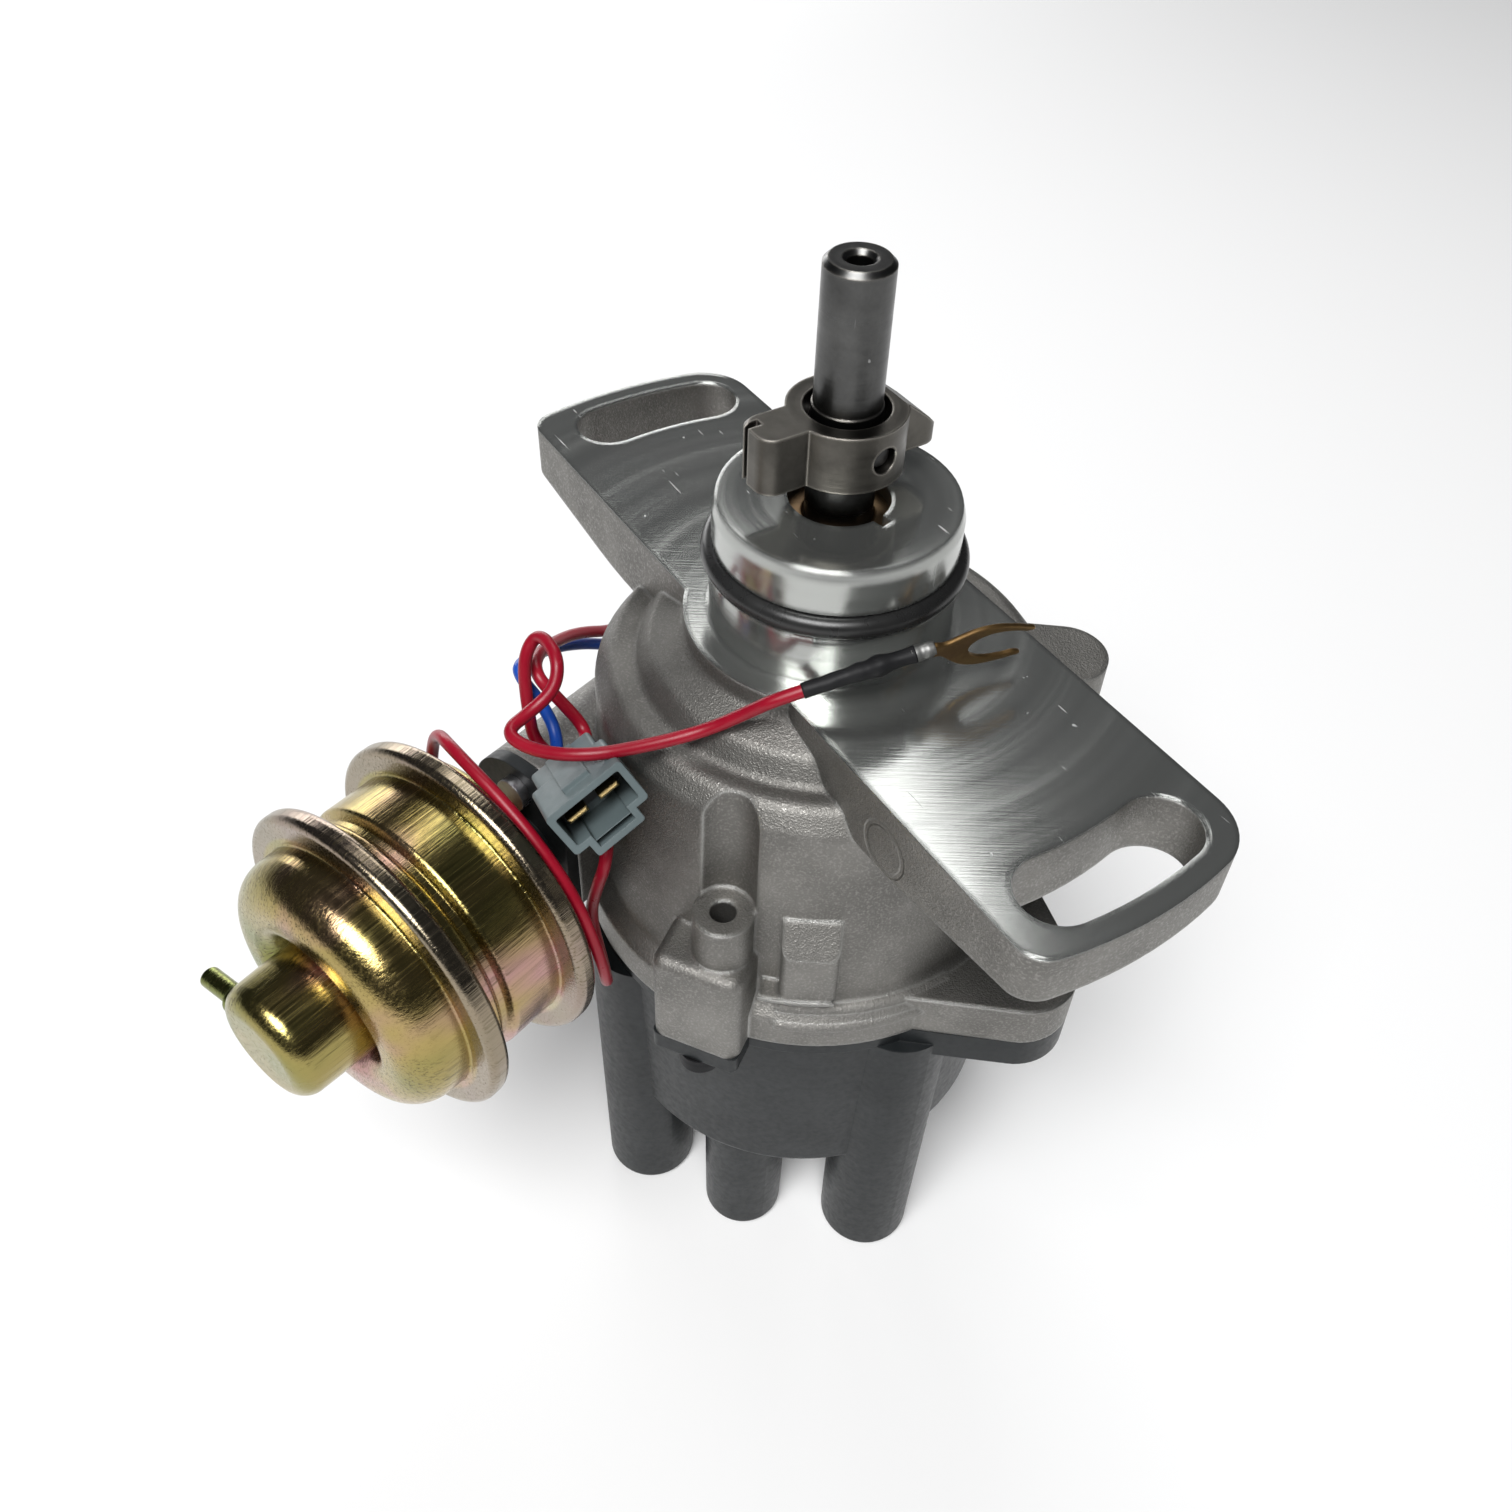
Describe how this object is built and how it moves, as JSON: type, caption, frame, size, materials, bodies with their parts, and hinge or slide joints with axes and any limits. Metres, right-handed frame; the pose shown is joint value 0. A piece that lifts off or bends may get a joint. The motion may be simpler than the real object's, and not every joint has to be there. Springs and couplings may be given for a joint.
{
  "type": "ignition distributor",
  "caption": "Ignition distributor with slotted mounting flange, sealed spigot, winged drive coupling, double vacuum can, moulded cap with lead towers, signal connector and earth lead.",
  "frame": {"origin": "centre of the spigot at the machined flange face", "axes": "+Z along the drive shaft towards its driven end, +X along the mounting flange, -Y towards the side of the vacuum can"},
  "size_m": [0.1406, 0.1445, 0.1927],
  "materials": {
    "cast": "cast and blasted",
    "machined": "machined",
    "steel": "ground steel",
    "zinc": "yellow zinc plate",
    "rubber": "moulded",
    "cap": "moulded",
    "plug": "moulded",
    "red": "wire insulation",
    "blue": "wire insulation",
    "brass": "plain",
    "bronze": "sintered",
    "carbon": "carbon",
    "film": "fabric rubber"
  },
  "bodies": {
    "housing": {"distributor_housing": "cast", "spigot_o_ring": "rubber", "upper_bush": "bronze", "lower_bush": "bronze", "shaft_oil_seal": "rubber", "pickup_base_plate": "zinc", "base_plate_screws": "steel", "plate_clip": "steel", "vacuum_bracket": "cap", "bracket_screws": "steel", "vacuum_rear_shell": "zinc", "main_diaphragm": "film", "vacuum_mid_drum": "zinc", "sub_diaphragm": "film", "sub_diaphragm_cup": "steel", "sub_spring": "steel", "vacuum_front_dome": "zinc", "vacuum_front_nipple": "zinc", "vacuum_rear_nipple": "zinc", "dust_cover": "cap", "distributor_cap": "cap", "cap_seal": "rubber", "cap_screws": "steel", "cap_electrodes": "machined", "coil_bridge_strip": "brass", "brush_spring": "steel", "wire_grommet": "rubber", "connector_housing": "plug", "connector_terminals": "brass", "signal_wire_red": "red", "signal_wire_blue": "blue", "fork_wire": "red", "heat_shrink": "rubber", "fork_terminal": "brass"},
    "drive": {"drive_shaft": "steel", "coupling_pin": "steel", "governor_plate": "steel", "shaft_thrust_washer": "steel", "weight_clips": "steel", "rotor_shaft_screw": "steel", "governor_springs": "steel"},
    "coupling": {"drive_coupling": "steel"},
    "weight_a": {"governor_weight_a": "steel"},
    "weight_b": {"governor_weight_b": "steel"},
    "rotor": {"advance_plate": "steel", "rotor_shaft": "steel", "signal_rotor": "steel", "rotor_arm": "cap", "rotor_contact": "brass"},
    "pickup": {"pickup_plate": "zinc", "advance_pin": "steel", "pickup_coil": "cap", "pickup_core": "steel", "pickup_magnet": "steel", "pickup_screws": "steel"},
    "rod": {"vacuum_rod": "steel", "main_diaphragm_cup": "steel", "main_spring": "steel"},
    "brush": {"carbon_brush": "carbon"}
  },
  "joints": [
    {"name": "shaft_spin", "type": "hinge", "parent": "housing", "child": "drive", "pos_m": [0, 0, 0], "axis": [0, 0, 1], "continuous": true},
    {"name": "coupling_rock", "type": "hinge", "parent": "drive", "child": "coupling", "pos_m": [0, 0, 0.0305], "axis": [0.9962, 0.0872, 0], "range_deg": [-2, 2]},
    {"name": "rotor_advance", "type": "hinge", "parent": "drive", "child": "rotor", "pos_m": [0, 0, -0.04], "axis": [0, 0, 1], "range_deg": [0, 8.86]},
    {"name": "governor_weight_a_swing", "type": "hinge", "parent": "drive", "child": "weight_a", "pos_m": [0, 0.017, -0.024], "axis": [0, 0, 1], "range_deg": [0, 10.01]},
    {"name": "governor_weight_b_swing", "type": "hinge", "parent": "drive", "child": "weight_b", "pos_m": [0, -0.017, -0.024], "axis": [0, 0, 1], "range_deg": [0, 10.01]},
    {"name": "vacuum_rod_slide", "type": "slide", "parent": "housing", "child": "rod", "axis": [0.319, -0.9478, 0], "range_m": [0, 0.0052]},
    {"name": "pickup_plate_advance", "type": "hinge", "parent": "housing", "child": "pickup", "pos_m": [0, 0, -0.04], "axis": [0, 0, 1], "range_deg": [0, 10]},
    {"name": "carbon_brush_slide", "type": "slide", "parent": "housing", "child": "brush", "axis": [0, 0, -1], "range_m": [0, 0.0015], "deforming": ["brush_spring"]}
  ],
  "couplings": [
    {"joint": "governor_weight_a_swing", "follows": "rotor_advance", "ratio": 1.1287},
    {"joint": "governor_weight_b_swing", "follows": "rotor_advance", "ratio": 1.1287},
    {"joint": "pickup_plate_advance", "follows": "vacuum_rod_slide", "rad_per_m": 33.557}
  ]
}
